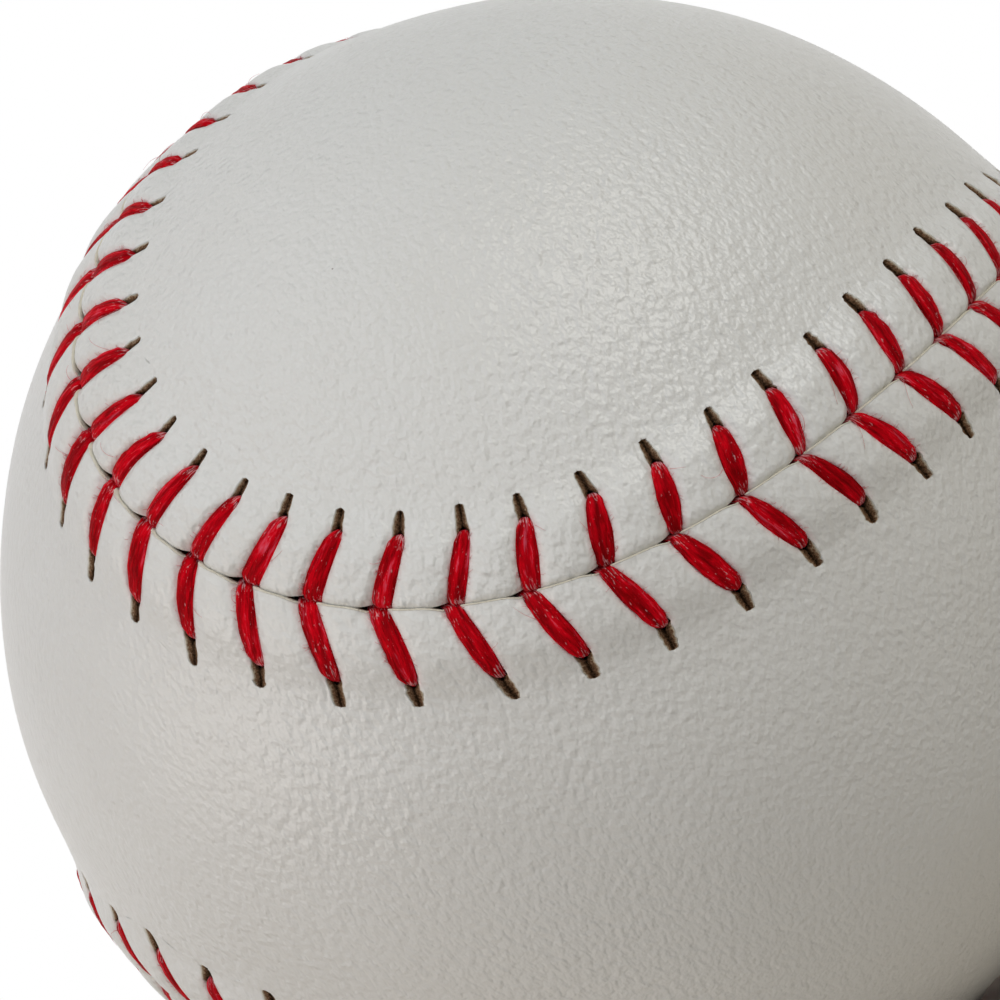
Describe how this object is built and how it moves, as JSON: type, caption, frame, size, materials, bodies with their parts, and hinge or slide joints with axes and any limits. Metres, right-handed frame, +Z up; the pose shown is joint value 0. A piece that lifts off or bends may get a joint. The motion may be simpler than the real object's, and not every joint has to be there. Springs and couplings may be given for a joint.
{
  "type": "baseball",
  "caption": "Baseball with a cork and rubber core, wool windings and a cowhide cover of figure-eight panels, drawn together by one raised seam of red double stitches.",
  "frame": {"origin": "the ball's centre", "axes": "+Z up; the seam crosses the Z axis at the top and the bottom and the X axis at the left and the right; the narrow waist of the front panel lies on -Y and that of the rear panel on +Y, and the seam and its stitches repeat after half a turn about Y"},
  "size_m": [0.0758, 0.0737, 0.0756],
  "materials": {
    "cork": "matt composition cork",
    "black_rubber": "matt moulded rubber",
    "red_rubber": "matt moulded rubber",
    "grey_wool": "wound wool yarn",
    "white_wool": "wound wool yarn",
    "cotton_yarn": "fine wound cotton yarn",
    "cowhide": "satin alum tanned cowhide, white, fine grained",
    "waxed_thread": "waxed cotton thread, satin, deep red"
  },
  "bodies": {
    "root": {"cork_core": "cork", "inner_shell_upper": "black_rubber", "inner_shell_lower": "black_rubber", "shell_gasket": "red_rubber", "outer_rubber_cover": "red_rubber", "first_wool_winding": "grey_wool", "second_wool_winding": "white_wool", "third_wool_winding": "grey_wool", "finishing_winding": "cotton_yarn", "cover_panel_rear": "cowhide", "cover_panel_front": "cowhide", "thread_first_needle": "waxed_thread", "thread_second_needle": "waxed_thread"}
  },
  "joints": []
}
